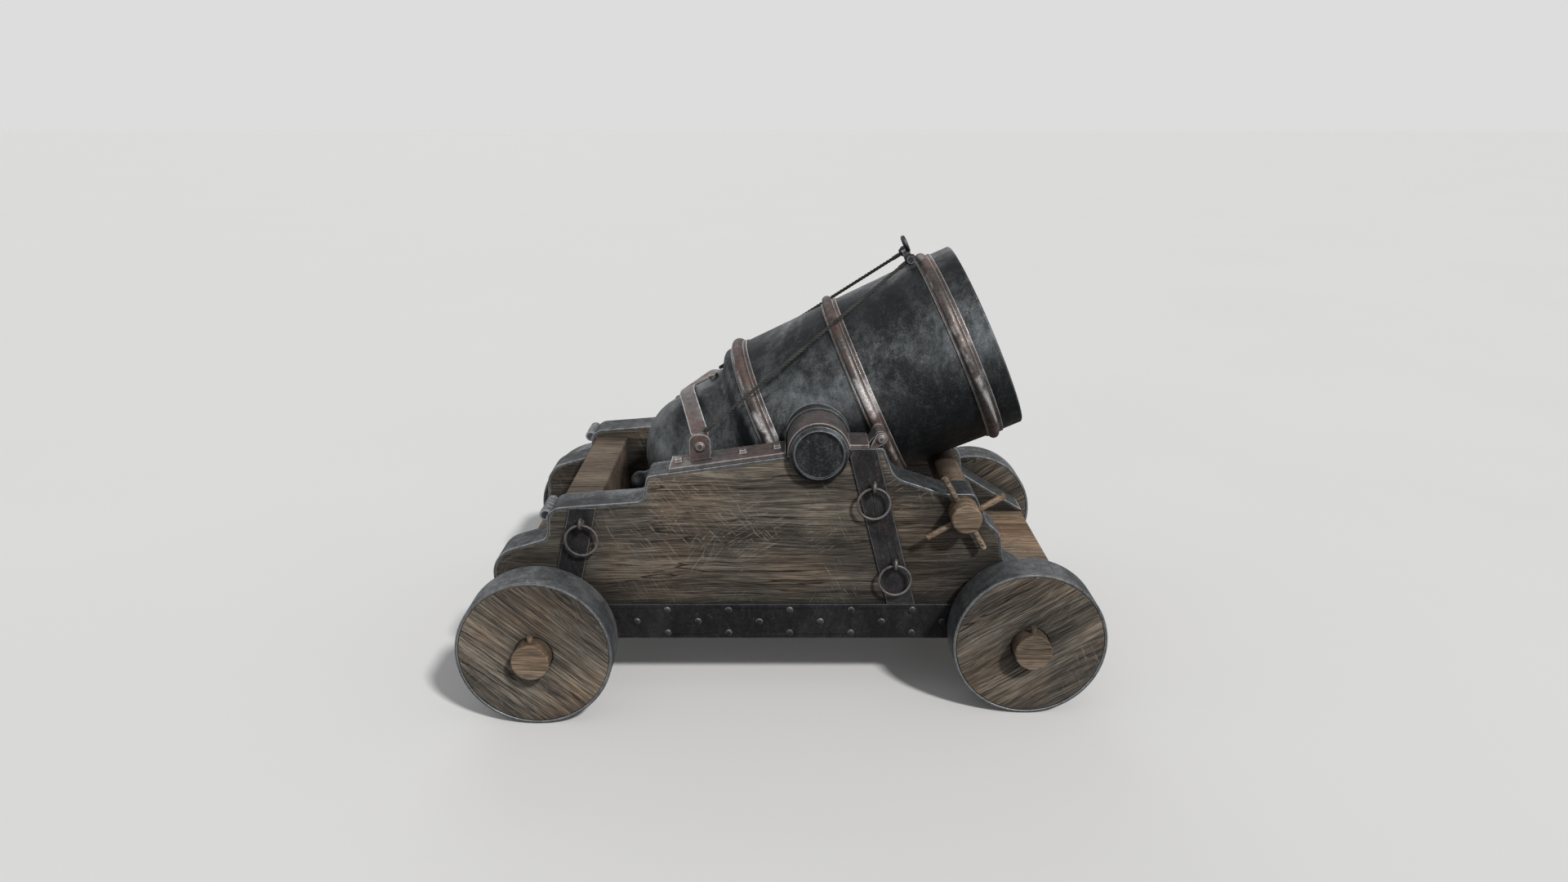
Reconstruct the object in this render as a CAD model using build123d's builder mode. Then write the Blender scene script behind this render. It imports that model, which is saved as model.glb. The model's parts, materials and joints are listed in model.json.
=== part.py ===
from build123d import *
from math import cos, radians, sin, sqrt, tan
import os

# Siege mortar on a low carriage with four solid truck wheels. Millimetres.
# +X points towards the muzzle, +Y to the carriage's left, +Z up. The origin is on the
# floor under the middle of the object.

RIGHT, LEFT = -1, 1
HANDS = ((RIGHT, "right"), (LEFT, "left"))

# Fits
running_gap = 0.3  # between turning and fixed round faces
wood_gap = 0.6  # round a wooden journal
side_gap = 2.0  # beside a turning piece

# Wheels and axletrees
wheel_r = 225.0
wheel_w = 118.0
tyre_t = 9.0
axle_inset = 158.5  # from the carriage's ends to the wheels' centres
front_wheel_gap = 18.0  # from the side plate to the wheel
rear_wheel_gap = 75.0
arm_r = 54.0
arm_proud = 50.0
arm_shoulder = 16.0
beam_shoulder = 4.0  # of the square beam beyond the round arm
linch_pin_r = 8.0
linch_pin_proud = 18.0

# Cheeks
cheek_clear = 22.0  # from the muzzle's cylinder to each cheek
cheek_t = 120.0
carriage_length = 1750.0
sill_drop = 50.0  # from the wheels' centres down to the cheeks' lower edges
band_t = 9.0
side_plate_h = 114.0
side_plate_t = 10.0
rivet_head_r = 9.0
rivet_head_h = 5.0
rivet_shank_r = 5.0
rivet_pitch = 185.0
rivet_shift = 17.0  # of the middle row's rivet nearest to the middle, towards the muzzle

# Cross timbers
bed_timber_w = 102.0
transom_t = 114.0
transom_h = 230.0
transom_inset = 246.0  # from the tail

# Barrel, along its own line from the trunnions
elevation = 24.0
trunnion_x = 101.0
trunnion_rise = 593.0  # above the cheeks' lower edges
bore_rise = 10.0  # of the bore's line above the trunnions' line
trunnion_r = 79.0
collar_rise = 6.0  # of each trunnion's end collar
collar_w = 17.0
rimbase_rise = 19.0
bore_r = 165.0
bore_length = 400.0
trunnion_root = 80.0  # of metal between the bore and each trunnion's root
muzzle_s = 598.0
muzzle_r = 303.0
swell_s = 486.0
middle_hoop_s = 180.0
flare_length = 57.0  # between the long taper and the chamber
flare_r = 282.0
chamber_front_r = 226.0
chamber_rear_s = -400.0
chamber_rear_r = 205.0
dome_length = 182.0
trunnion_rim = 8.0  # around the dished end of each trunnion
trunnion_dish = 9.0
button_r = 33.0
button_neck_r = 25.0
button_s = -632.0
button_join_angle = 50.0

# Hoops
chamber_hoop_w = 58.0
chamber_hoop_rise = 21.0
middle_hoop_w = 52.0
middle_hoop_rise = 22.0
muzzle_hoop_w = 54.0
muzzle_hoop_rise = 17.0
hoop_lip = 7.0
hoop_lip_h = 4.0
hoop_clear = 11.0  # between the chamber hoop and the rimbases
hoop_lead = 13.0  # from the flare to the chamber hoop

# Cap-squares and their hinges
cap_gap = 2.3
cap_t = 10.0
cap_overhang = 12.0
shoulder_rise = 12.0  # of the cheek's shoulder above the trunnions' line
hinge_gap = 100.0  # from the trunnion's surface to the hinge pin
hinge_rise = 26.0  # above the shoulder
hinge_pin_r = 8.0
knuckle_r = 18.0
ear_t = 16.0
ear_inset = 6.0

# Flat bars on the cheeks and the breech strap
bar_t = 12.0
bar_inset = 65.0  # from the brow to the bar's rear end
bolt_inset = 25.0  # from the bar's ends to its bolts
strap_w = 51.0
strap_t = 8.0
strap_s = -352.0
strap_clear = 1.0
strap_drop = 27.3  # from the saddle to the lugs' tops
lug_dx = -347.5  # from the trunnions
lug_w = 63.0
lug_t = 12.0
lug_round = 24.0
lug_bolt_r = 8.0

# Face straps, eyebolts and lashing rings
face_strap_t = 6.0
front_strap_w = 82.0
rear_strap_w = 78.0
eye_shank_r = 8.0
eye_wire_r = 5.0
eye_hole_r = 9.0
nut_r = 16.0
nut_t = 12.0
ring_r = 47.0
ring_wire_r = 4.0

# Elevating windlass
windlass_dx = 424.0  # from the trunnions
windlass_gap = 2.0
roller_r = 46.0
journal_r = 34.0
windlass_head_r = 44.0
windlass_head_w = 80.0
spoke_r = 9.0
spoke_length = 254.0

# Stays
stay_r = 5.5
stay_spread = 85.0  # from the middle to each stay's upper end
stay_pin_rise = 32.0  # of the cross pin above the barrel
stay_gap = 1.2  # between the cross pin and each stay

# Derived places
axle_z = wheel_r
axle_beam = 2 * (arm_r + beam_shoulder)  # square, between the wheels
sill_z = axle_z - sill_drop
plate_top = sill_z + side_plate_h
front_axle_x = carriage_length / 2 - axle_inset
rear_axle_x = -front_axle_x
tail_x = -carriage_length / 2 + 5
toe_x = carriage_length / 2 + 5
cheek_in = muzzle_r + cheek_clear
cheek_out = cheek_in + cheek_t
plate_out = cheek_out + side_plate_t
strap_out = cheek_out + face_strap_t
wheel_faces = {
    "front": plate_out + front_wheel_gap + wheel_w,
    "rear": plate_out + rear_wheel_gap + wheel_w,
}
trunnion_z = sill_z + trunnion_rise
shoulder_z = trunnion_z + shoulder_rise
hinge_x = trunnion_x + trunnion_r + hinge_gap
hinge_z = shoulder_z + hinge_rise
lug_x = trunnion_x + lug_dx
chamber_hoop_s = -(trunnion_r + rimbase_rise + hoop_clear + chamber_hoop_w)
flare_s = chamber_hoop_s - hoop_lead
chamber_front_s = flare_s - flare_length

# The bore's line: s runs along it towards the muzzle, u square to it and upwards.
along_x, along_z = cos(radians(elevation)), sin(radians(elevation))
bore_start = (trunnion_x - bore_rise * along_z, 0, trunnion_z + bore_rise * along_x)
bore_axis = Axis(bore_start, (along_x, 0, along_z))
bore_plane = Plane(origin=bore_start, x_dir=(along_x, 0, along_z), z_dir=(0, -1, 0))


def barrel_point(s, u):
    """X and Z of a point at s along the bore's line and u above it."""
    x = bore_start[0] + s * along_x - u * along_z
    z = bore_start[2] + s * along_z + u * along_x
    return x, z


def body_r(s):
    """Outer radius of the barrel's long taper, and of its cylindrical muzzle."""
    share = min(1.0, (s - flare_s) / (swell_s - flare_s))
    return flare_r + (muzzle_r - flare_r) * share


def chamber_r(s):
    """Outer radius of the chamber's taper."""
    share = (s - chamber_rear_s) / (chamber_front_s - chamber_rear_s)
    return chamber_rear_r + (chamber_front_r - chamber_rear_r) * share


def across(s):
    """Plane square to the bore's line at s, with its first axis to the left and its second upwards."""
    x, z = barrel_point(s, 0)
    return Plane(origin=(x, 0, z), x_dir=(0, 1, 0), z_dir=(along_x, 0, along_z))


def slab(side, near, far):
    """Upright plane from which an extrusion of far - near fills that slab on one side of the middle."""
    return Plane.XZ.offset(near if side == RIGHT else -far)


def save(piece, name):
    """Labels a finished piece and writes it as its own file."""
    piece.part.label = name
    export_step(piece.part, f"parts/{name}.step")


# The windlass stands as far under the bore's line as its roller needs beneath the barrel's taper.
windlass_x = trunnion_x + windlass_dx
from_start_x = windlass_x - bore_start[0]
taper = (muzzle_r - flare_r) / (swell_s - flare_s)
radius_there = flare_r + taper * (from_start_x * along_x - flare_s)
room = radius_there + windlass_gap + roller_r - from_start_x * along_z
windlass_z = bore_start[2] - room / (along_x + taper * along_z)

os.makedirs("parts", exist_ok=True)

# ---------------------------------------------------------------------------
# Cheek outline: the tail steps up to a long sloping top, with the trunnion seat and a flat shoulder,
# then falls past the windlass to a low toe.
# ---------------------------------------------------------------------------
brow_x = tail_x + 470
brow_z = trunnion_z - 74
seat_front_x = trunnion_x + trunnion_r + 4
top_slope = (shoulder_z - brow_z) / (seat_front_x - brow_x)


def top_z(x):
    """Height of the cheek's long sloping top."""
    return brow_z + (x - brow_x) * top_slope


# x, z and rounding radius of each corner, from tail to toe
edge_corners = (
    (tail_x, sill_z + 273, 84),  # tail step
    (tail_x + 168, sill_z + 324, 28),  # hollow at the first riser
    (tail_x + 173, brow_z - 100, 45),  # second step
    (brow_x - 15, brow_z - 78, 25),  # hollow under the brow
    (brow_x, brow_z, 16),  # brow
    (seat_front_x, shoulder_z, 0),  # front of the trunnion seat
    (hinge_x + 8, shoulder_z, 14),  # end of the shoulder
    (hinge_x + 42, windlass_z + 100, 60),  # foot of the shoulder's drop
    (windlass_x - 55, windlass_z + journal_r + 16, 80),  # level over the windlass
    (windlass_x + journal_r - 1, windlass_z + journal_r + 16, 24),  # fall in front of the windlass
    (windlass_x + journal_r + 42, windlass_z - 41, 30),  # hollow before the front round
    (windlass_x + journal_r + 82, windlass_z - 76, 50),  # front round
    (windlass_x + journal_r + 93, windlass_z - 160, 20),  # hollow at the toe
)
with BuildLine() as upper_edge:
    FilletPolyline(
        (tail_x, sill_z),
        *[(x, z) for x, z, _ in edge_corners],
        (toe_x, plate_top),
        (toe_x, sill_z),
        radius=[r for _, _, r in edge_corners] + [0],
    )
    Line((toe_x, sill_z), (tail_x, sill_z))
with BuildSketch() as outline:
    make_face(upper_edge.edges())
with BuildSketch() as wood_outline:
    add(outline.sketch)
    offset(amount=-band_t, kind=Kind.INTERSECTION)
    with Locations(((tail_x + toe_x) / 2, (sill_z + plate_top) / 2)):
        Rectangle(toe_x - tail_x, side_plate_h)

seat_r = trunnion_r + running_gap
liner_r = seat_r + band_t

# Points on the face straps: the eyebolts pass through them
front_strap_top = (seat_front_x + 42, shoulder_z)
front_strap_foot = (seat_front_x + 168, plate_top)
rear_strap_top = (tail_x + 280, brow_z - 96)
rear_strap_bend = (tail_x + 240, sill_z + 255)
rear_strap_foot = (tail_x + 206, plate_top)


def between(start, end, share, shift):
    """Point at a share of the way from start to end, shifted along X."""
    return start[0] + (end[0] - start[0]) * share + shift, start[1] + (end[1] - start[1]) * share


# Middles of the lashing rings as they hang
ring_middles = {
    "rear": between(rear_strap_top, rear_strap_bend, 0.565, 17.0),
    "middle": between(front_strap_top, front_strap_foot, 0.33, -6.0),
    "front": between(front_strap_top, front_strap_foot, 0.826, 0.0),
}
ring_tops = {place: (x, z + ring_r) for place, (x, z) in ring_middles.items()}
eye_centres = {
    place: (x, z + eye_hole_r - ring_wire_r - 0.5) for place, (x, z) in ring_tops.items()
}
axle_spans = ((front_axle_x, "front"), (rear_axle_x, "rear"))

for side, hand in HANDS:
    with BuildPart() as cheek:
        with BuildSketch(slab(side, cheek_in, cheek_out)):
            add(wood_outline.sketch)
            with Locations((trunnion_x, trunnion_z)):
                Circle(liner_r, mode=Mode.SUBTRACT)
            with Locations((windlass_x, windlass_z)):
                Circle(journal_r + wood_gap, mode=Mode.SUBTRACT)
            with Locations(*eye_centres.values()):
                Circle(eye_shank_r, mode=Mode.SUBTRACT)
            for axle_x, _ in axle_spans:
                with Locations((axle_x, axle_z)):
                    Rectangle(axle_beam, axle_beam, mode=Mode.SUBTRACT)
        extrude(amount=cheek_t)
    save(cheek, f"cheek_{hand}")

    # The band covers the whole upper edge and lines the trunnion seat.
    with BuildPart() as edge_band:
        with BuildSketch(slab(side, cheek_in, cheek_out)):
            add(outline.sketch)
            add(wood_outline.sketch, mode=Mode.SUBTRACT)
            with BuildSketch(mode=Mode.PRIVATE) as liner:
                with Locations((trunnion_x, trunnion_z)):
                    Circle(liner_r)
                add(outline.sketch, mode=Mode.INTERSECT)
            add(liner.sketch)
            with Locations((trunnion_x, trunnion_z)):
                Circle(seat_r, mode=Mode.SUBTRACT)
        extrude(amount=cheek_t)
    save(edge_band, f"edge_band_{hand}")

# ---------------------------------------------------------------------------
# Side plates with three staggered rows of rivets
# ---------------------------------------------------------------------------
plate_middle_z = sill_z + side_plate_h / 2
rivet_row_z = side_plate_h / 2 - 2 * rivet_head_r - 1
rivet_reach = int(carriage_length / 2 / rivet_pitch)
rivet_places = []
for n in range(-rivet_reach, rivet_reach + 1):
    row_x = rivet_shift + (n - 0.5) * rivet_pitch
    rivet_places.append((row_x, plate_middle_z))
    rivet_places.append((row_x + rivet_pitch / 2, plate_middle_z + rivet_row_z))
    rivet_places.append((row_x + rivet_pitch / 2, plate_middle_z - rivet_row_z))
axle_clear = arm_r + arm_shoulder + rivet_head_r + 1
plate_end = carriage_length / 2 - rivet_head_r - 10
rivet_places = [
    (x, z)
    for x, z in rivet_places
    if abs(x) < plate_end
    and all(Vector(x - axle_x, z - axle_z).length > axle_clear for axle_x, _ in axle_spans)
]
for side, hand in HANDS:
    with BuildPart() as side_plate:
        with BuildSketch(slab(side, cheek_out, plate_out)):
            with Locations(((tail_x + toe_x) / 2, plate_middle_z)):
                Rectangle(toe_x - tail_x, side_plate_h)
            for axle_x, _ in axle_spans:
                with Locations((axle_x, axle_z)):
                    Circle(arm_r + wood_gap, mode=Mode.SUBTRACT)
            with Locations(*rivet_places):
                Circle(rivet_shank_r, mode=Mode.SUBTRACT)
        extrude(amount=side_plate_t)
    save(side_plate, f"side_plate_{hand}")


def domed_pin(side, places, head_r, head_h, shank_r, near, far):
    """Group of round-headed pins along Y, with shanks from near to far and the heads beyond far."""
    with BuildPart() as pins:
        with BuildSketch(slab(side, near, far)):
            with Locations(*places):
                Circle(shank_r)
        extrude(amount=far - near)
        with BuildSketch(slab(side, far, far + head_h)):
            with Locations(*places):
                Circle(head_r)
        extrude(amount=head_h)
        outer = pins.faces().group_by(Axis.Y)[0 if side == RIGHT else -1]
        chamfer(outer.edges(), length=head_h * 0.6)
    return pins


with BuildPart() as plate_rivets:
    for side, _ in HANDS:
        rivets = domed_pin(side, rivet_places, rivet_head_r, rivet_head_h, rivet_shank_r, cheek_out, plate_out)
        add(rivets.part)
save(plate_rivets, "plate_rivets")

# ---------------------------------------------------------------------------
# Axletrees: a square beam housed in both cheeks, with turned arms and shoulders
# ---------------------------------------------------------------------------
for axle_x, place in axle_spans:
    wheel_in = wheel_faces[place] - wheel_w
    with BuildPart() as axletree:
        with BuildSketch(Plane.XZ.offset(-cheek_out)):
            with Locations((axle_x, axle_z)):
                Rectangle(axle_beam, axle_beam)
        extrude(amount=2 * cheek_out)
        arm_end = wheel_faces[place] + arm_proud
        with BuildSketch(Plane.XZ.offset(-arm_end)):
            with Locations((axle_x, axle_z)):
                Circle(arm_r)
        extrude(amount=2 * arm_end)
        chamfer(axletree.faces().filter_by(GeomType.PLANE).group_by(Axis.Y)[0].edges(), length=3)
        chamfer(axletree.faces().filter_by(GeomType.PLANE).group_by(Axis.Y)[-1].edges(), length=3)
        for side, _ in HANDS:
            with BuildSketch(slab(side, plate_out, wheel_in - side_gap)):
                with Locations((axle_x, axle_z)):
                    Circle(arm_r + arm_shoulder)
            extrude(amount=wheel_in - side_gap - plate_out)
            pin_y = side * (wheel_faces[place] + arm_proud / 2)
            with Locations((axle_x, pin_y, axle_z)):
                Cylinder(linch_pin_r, 4 * arm_r, mode=Mode.SUBTRACT)
    save(axletree, f"{place}_axletree")

with BuildPart() as linch_pins:
    for axle_x, place in axle_spans:
        for side, _ in HANDS:
            pin_y = side * (wheel_faces[place] + arm_proud / 2)
            pin_low = axle_z - arm_r - linch_pin_proud / 2
            with BuildSketch(Plane.XY.offset(pin_low)):
                with Locations((axle_x, pin_y)):
                    Circle(linch_pin_r)
            extrude(amount=2 * arm_r + linch_pin_proud * 1.5)
save(linch_pins, "linch_pins")

# ---------------------------------------------------------------------------
# Cross timbers between the cheeks
# ---------------------------------------------------------------------------
bed_h = axle_z + axle_beam / 2 - sill_z
for axle_x, place in axle_spans:
    with BuildPart() as bed:
        with BuildSketch(Plane.XY.offset(sill_z)):
            for way in (-1, 1):
                with Locations((axle_x + way * (axle_beam + bed_timber_w) / 2, 0)):
                    Rectangle(bed_timber_w, 2 * cheek_in)
        extrude(amount=bed_h)
    save(bed, f"{place}_bed")

transom_top = brow_z - 124
transom_x = tail_x + transom_inset
with BuildPart() as rear_transom:
    with BuildSketch(Plane.XY.offset(transom_top - transom_h)):
        with Locations((transom_x, 0)):
            Rectangle(transom_t, 2 * cheek_in)
    extrude(amount=transom_h)
    chamfer(rear_transom.edges().filter_by(Axis.Y), length=4)
save(rear_transom, "rear_transom")

# ---------------------------------------------------------------------------
# Wheels and tyres
# ---------------------------------------------------------------------------
for axle_x, place in axle_spans:
    far = wheel_faces[place]
    for side, hand in HANDS:
        with BuildPart() as wheel:
            with BuildSketch(slab(side, far - wheel_w, far)):
                with Locations((axle_x, axle_z)):
                    Circle(wheel_r - tyre_t)
                    Circle(arm_r + wood_gap, mode=Mode.SUBTRACT)
            extrude(amount=wheel_w)
        save(wheel, f"{place}_wheel_{hand}")
        with BuildPart() as tyre:
            with BuildSketch(slab(side, far - wheel_w, far)):
                with Locations((axle_x, axle_z)):
                    Circle(wheel_r)
                    Circle(wheel_r - tyre_t, mode=Mode.SUBTRACT)
            extrude(amount=wheel_w)
            rims = tyre.edges().filter_by(GeomType.CIRCLE).group_by(SortBy.RADIUS)[-1]
            chamfer(rims, length=2)
        save(tyre, f"{place}_tyre_{hand}")

# ---------------------------------------------------------------------------
# Face straps, eyebolts and lashing rings
# ---------------------------------------------------------------------------


def strap_face(points, width):
    """Flat strap along a line of points, cut level at its top and foot."""
    half = width / 2 / cos(radians(14))
    with BuildLine() as edge:
        Polyline(
            *[(x - half, z) for x, z in points],
            *[(x + half, z) for x, z in reversed(points)],
            close=True,
        )
    make_face(edge.edges())


for side, hand in HANDS:
    with BuildPart() as front_strap:
        with BuildSketch(slab(side, cheek_out, strap_out)):
            strap_face([front_strap_top, front_strap_foot], front_strap_w)
            with Locations(eye_centres["middle"], eye_centres["front"]):
                Circle(eye_shank_r, mode=Mode.SUBTRACT)
        extrude(amount=face_strap_t)
    save(front_strap, f"front_strap_{hand}")
    with BuildPart() as rear_strap:
        with BuildSketch(slab(side, cheek_out, strap_out)):
            strap_face([rear_strap_top, rear_strap_bend, rear_strap_foot], rear_strap_w)
            with Locations(eye_centres["rear"]):
                Circle(eye_shank_r, mode=Mode.SUBTRACT)
        extrude(amount=face_strap_t)
    save(rear_strap, f"rear_strap_{hand}")

eye_mean_r = eye_hole_r + eye_wire_r
eye_y = strap_out + eye_mean_r + eye_wire_r
with BuildPart() as ring_eyebolts:
    for side, _ in HANDS:
        for place, (x, z) in eye_centres.items():
            shank_in = cheek_in if place == "rear" else cheek_in - nut_t
            with BuildSketch(slab(side, shank_in, strap_out)):
                with Locations((x, z)):
                    Circle(eye_shank_r)
            extrude(amount=strap_out - shank_in)
            with BuildSketch(slab(side, strap_out, strap_out + 1.5 * eye_wire_r)):
                with Locations((x, z)):
                    Circle(eye_shank_r - 1.5)
            extrude(amount=1.5 * eye_wire_r)
            if place != "rear":
                with BuildSketch(slab(side, cheek_in - nut_t, cheek_in)):
                    with Locations((x, z)):
                        RegularPolygon(nut_r, 4)
                extrude(amount=nut_t)
            with BuildSketch(Plane.XY.offset(z)):
                with Locations((x, side * eye_y + eye_mean_r)):
                    Circle(eye_wire_r)
            revolve(axis=Axis((x, side * eye_y, z), (1, 0, 0)))
save(ring_eyebolts, "ring_eyebolts")

for side, hand in HANDS:
    for place, (x, z) in ring_middles.items():
        with BuildPart() as ring:
            with BuildSketch(Plane.XY.offset(z)):
                with Locations((x + ring_r, side * eye_y)):
                    Circle(ring_wire_r)
            revolve(axis=Axis((x, side * eye_y, z), (0, 1, 0)))
        save(ring, f"lashing_ring_{place}_{hand}")

# ---------------------------------------------------------------------------
# Cap-squares, their hinge eyes and pins
# ---------------------------------------------------------------------------
cap_in_r = trunnion_r + cap_gap
cap_out_r = cap_in_r + cap_t
flange_z = shoulder_z + running_gap
cap_foot_z = top_z(trunnion_x - cap_out_r) + 3
ear_near, ear_far = cheek_in + ear_inset, cheek_out - ear_inset
knuckle_near, knuckle_far = ear_near + ear_t + side_gap, ear_far - ear_t - side_gap
ear_rear_x = hinge_x - 32

for side, hand in HANDS:
    with BuildPart() as cap_square:
        with BuildSketch(slab(side, cheek_in, cheek_out + cap_overhang)):
            with Locations((trunnion_x, trunnion_z)):
                Circle(cap_out_r)
                Circle(cap_in_r, mode=Mode.SUBTRACT)
            with Locations((trunnion_x, cap_foot_z - cap_out_r)):
                Rectangle(4 * cap_out_r, 2 * cap_out_r, mode=Mode.SUBTRACT)
            with Locations((trunnion_x + cap_out_r, flange_z - cap_out_r)):
                Rectangle(2 * cap_out_r, 2 * cap_out_r, mode=Mode.SUBTRACT)
        extrude(amount=cheek_t + cap_overhang)
        with BuildSketch(slab(side, cheek_in, cheek_out)):
            with BuildLine():
                Polyline(
                    (trunnion_x + cap_in_r + 4, flange_z),
                    (ear_rear_x - side_gap, flange_z),
                    (ear_rear_x - side_gap, flange_z + cap_t),
                    (trunnion_x + cap_in_r + 2, flange_z + cap_t),
                    close=True,
                )
            make_face()
        extrude(amount=cheek_t)
        with BuildSketch(slab(side, knuckle_near, knuckle_far)):
            with BuildLine():
                Polyline(
                    (trunnion_x + cap_out_r, flange_z),
                    (hinge_x - knuckle_r * 0.7, flange_z),
                    (hinge_x, hinge_z - hinge_pin_r),
                    (hinge_x - knuckle_r * 0.7, hinge_z + knuckle_r * 0.6),
                    (ear_rear_x - side_gap, flange_z + cap_t),
                    (trunnion_x + cap_out_r, flange_z + cap_t),
                    close=True,
                )
            make_face()
            with Locations((hinge_x, hinge_z)):
                Circle(knuckle_r)
                Circle(hinge_pin_r + running_gap, mode=Mode.SUBTRACT)
        extrude(amount=knuckle_far - knuckle_near)
    save(cap_square, f"cap_square_{hand}")

with BuildPart() as cap_hinge_eyes:
    for side, _ in HANDS:
        for near, far in ((ear_near, ear_near + ear_t), (ear_far - ear_t, ear_far)):
            with BuildSketch(slab(side, near, far)):
                with BuildLine():
                    Polyline(
                        (ear_rear_x, shoulder_z),
                        (hinge_x - 8, shoulder_z),
                        (hinge_x + knuckle_r * 0.8, hinge_z - knuckle_r * 0.6),
                        (hinge_x, hinge_z),
                        (hinge_x - knuckle_r * 0.8, hinge_z + knuckle_r * 0.6),
                        close=True,
                    )
                make_face()
                with Locations((hinge_x, hinge_z)):
                    Circle(knuckle_r)
                    Circle(hinge_pin_r, mode=Mode.SUBTRACT)
            extrude(amount=far - near)
save(cap_hinge_eyes, "cap_hinge_eyes")

with BuildPart() as cap_hinge_pins:
    for side, _ in HANDS:
        add(domed_pin(side, [(hinge_x, hinge_z)], 13, 8, hinge_pin_r, ear_near - 6, ear_far).part)
save(cap_hinge_pins, "cap_hinge_pins")

# ---------------------------------------------------------------------------
# Flat bars on the sloping tops, their bolts, and the strap lugs
# ---------------------------------------------------------------------------
bar_rear_x = brow_x + bar_inset
bar_front_x = trunnion_x - cap_out_r - 4
bar_rise = bar_t * (1 + top_slope**2) ** 0.5
bar_near, bar_far = cheek_in, cheek_out - 5
bar_bolt_y = (bar_near + bar_far) / 2


def bar_top(x):
    """Height of a flat bar's upper face."""
    return top_z(x) + bar_rise


def sloped_plane(x, y):
    """Plane on a bar's upper face at x and y."""
    return Plane(origin=(x, y, bar_top(x)), x_dir=(1, 0, top_slope), z_dir=(-top_slope, 0, 1))


bar_bolt_xs = (bar_rear_x + bolt_inset, (lug_x + bar_front_x) / 2, bar_front_x - bolt_inset)
for side, hand in HANDS:
    with BuildPart() as cap_bar:
        with BuildSketch(slab(side, bar_near, bar_far)):
            with BuildLine():
                Polyline(
                    (bar_rear_x, top_z(bar_rear_x)),
                    (bar_front_x, top_z(bar_front_x)),
                    (bar_front_x, bar_top(bar_front_x)),
                    (bar_rear_x, bar_top(bar_rear_x)),
                    close=True,
                )
            make_face()
        extrude(amount=bar_far - bar_near)
        for x in bar_bolt_xs:
            with BuildSketch(sloped_plane(x, side * bar_bolt_y)):
                Circle(rivet_shank_r)
            extrude(amount=-bar_t, mode=Mode.SUBTRACT)
    save(cap_bar, f"cap_bar_{hand}")

with BuildPart() as bar_bolts:
    for side, _ in HANDS:
        for x in bar_bolt_xs:
            with BuildSketch(sloped_plane(x, side * bar_bolt_y)):
                Circle(rivet_shank_r)
            extrude(amount=-bar_t)
            with BuildSketch(sloped_plane(x, side * bar_bolt_y)):
                Rectangle(22, 22)
            extrude(amount=9, taper=15)
save(bar_bolts, "bar_bolts")

# The breech strap's legs leave its saddle almost level, so the lugs stand as high as the saddle needs.
saddle_in_r = chamber_r(strap_s + strap_w / 2) + strap_clear
saddle_mid_r = saddle_in_r + strap_t / 2
saddle_half = 32.0
leg_start_y = saddle_half - 6
leg_start = barrel_point(strap_s, (saddle_mid_r**2 - leg_start_y**2) ** 0.5)
lug_top = leg_start[1] - strap_drop
tab_foot = bar_top(lug_x) + 16
lug_bolt_z = tab_foot + 24
lug_near = bar_bolt_y
lug_far = lug_near + lug_t
tab_near = lug_near - strap_t
with BuildPart() as strap_lugs:
    for side, _ in HANDS:
        with BuildSketch(slab(side, lug_near, lug_far)):
            with BuildLine():
                FilletPolyline(
                    (lug_x - lug_w / 2, bar_top(lug_x - lug_w / 2)),
                    (lug_x - lug_w / 2, lug_top),
                    (lug_x + lug_w / 2, lug_top),
                    (lug_x + lug_w / 2, bar_top(lug_x + lug_w / 2)),
                    radius=lug_round,
                )
                Line(
                    (lug_x + lug_w / 2, bar_top(lug_x + lug_w / 2)),
                    (lug_x - lug_w / 2, bar_top(lug_x - lug_w / 2)),
                )
            make_face()
            with Locations((lug_x, lug_bolt_z)):
                Circle(lug_bolt_r, mode=Mode.SUBTRACT)
        extrude(amount=lug_t)
        with BuildSketch(slab(side, lug_near - 32, lug_near)):
            with BuildLine():
                Polyline(
                    (lug_x - lug_w / 2, bar_top(lug_x - lug_w / 2)),
                    (lug_x + lug_w / 2, bar_top(lug_x + lug_w / 2)),
                    (lug_x + lug_w / 2, bar_top(lug_x + lug_w / 2) + 8),
                    (lug_x - lug_w / 2, bar_top(lug_x - lug_w / 2) + 8),
                    close=True,
                )
            make_face()
        extrude(amount=32)
save(strap_lugs, "strap_lugs")

with BuildPart() as lug_bolts:
    for side, _ in HANDS:
        add(domed_pin(side, [(lug_x, lug_bolt_z)], 15, 8, lug_bolt_r, tab_near - 14, lug_far).part)
        with BuildSketch(slab(side, tab_near - 10, tab_near)):
            with Locations((lug_x, lug_bolt_z)):
                RegularPolygon(15, 6)
        extrude(amount=10)
save(lug_bolts, "lug_bolts")

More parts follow.
